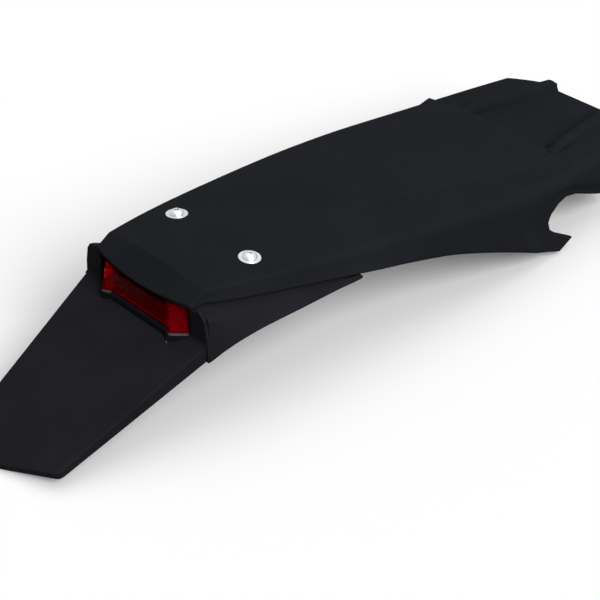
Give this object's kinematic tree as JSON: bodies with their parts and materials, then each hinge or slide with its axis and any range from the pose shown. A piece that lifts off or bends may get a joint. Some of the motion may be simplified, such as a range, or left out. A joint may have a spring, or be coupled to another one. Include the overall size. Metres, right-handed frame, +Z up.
{
  "type": "motorbike rear fender",
  "caption": "Moulded enduro motorbike rear fender with a raised wedge, an under-seat deck, side notches and a sloping number plate holder with a slim red tail light.",
  "frame": {"origin": "middle of the front fixing, between the two inserts, on the faces they offer to the bike's subframe", "axes": "+Z up, +Y forward along the bike, +X to the bike's right side"},
  "size_m": [0.223, 0.7476, 0.1307],
  "materials": {
    "fender_plastic": "fine-grained moulded polypropylene",
    "holder_plastic": "smooth satin moulded polypropylene",
    "red_lens": "clear red acrylic",
    "clear_window": "clear acrylic",
    "housing_plastic": "semi-gloss black",
    "reflector_metal": "metallised plastic",
    "board": "lacquered glass-fibre board",
    "diode": "moulded resin",
    "chip": "ceramic chip with a dark coat",
    "steel": "bright zinc or stainless",
    "brass": "turned",
    "rubber": "matt black"
  },
  "bodies": {
    "root": {"rear_fender": "fender_plastic", "plate_holder": "holder_plastic", "light_lens": "red_lens", "plate_lamp_window_left": "clear_window", "plate_lamp_window_right": "clear_window", "light_housing": "housing_plastic", "light_reflector": "reflector_metal", "light_circuit_board": "board", "tail_leds": "diode", "plate_leds": "diode", "board_resistors": "chip", "board_screws": "steel", "lens_gasket": "rubber", "cable_grommet": "rubber", "light_screws": "steel", "fender_screws": "steel", "fender_washers": "steel", "holder_sleeves": "steel", "holder_nuts": "steel", "wing_collars": "steel", "deck_inserts": "brass"}
  },
  "joints": []
}
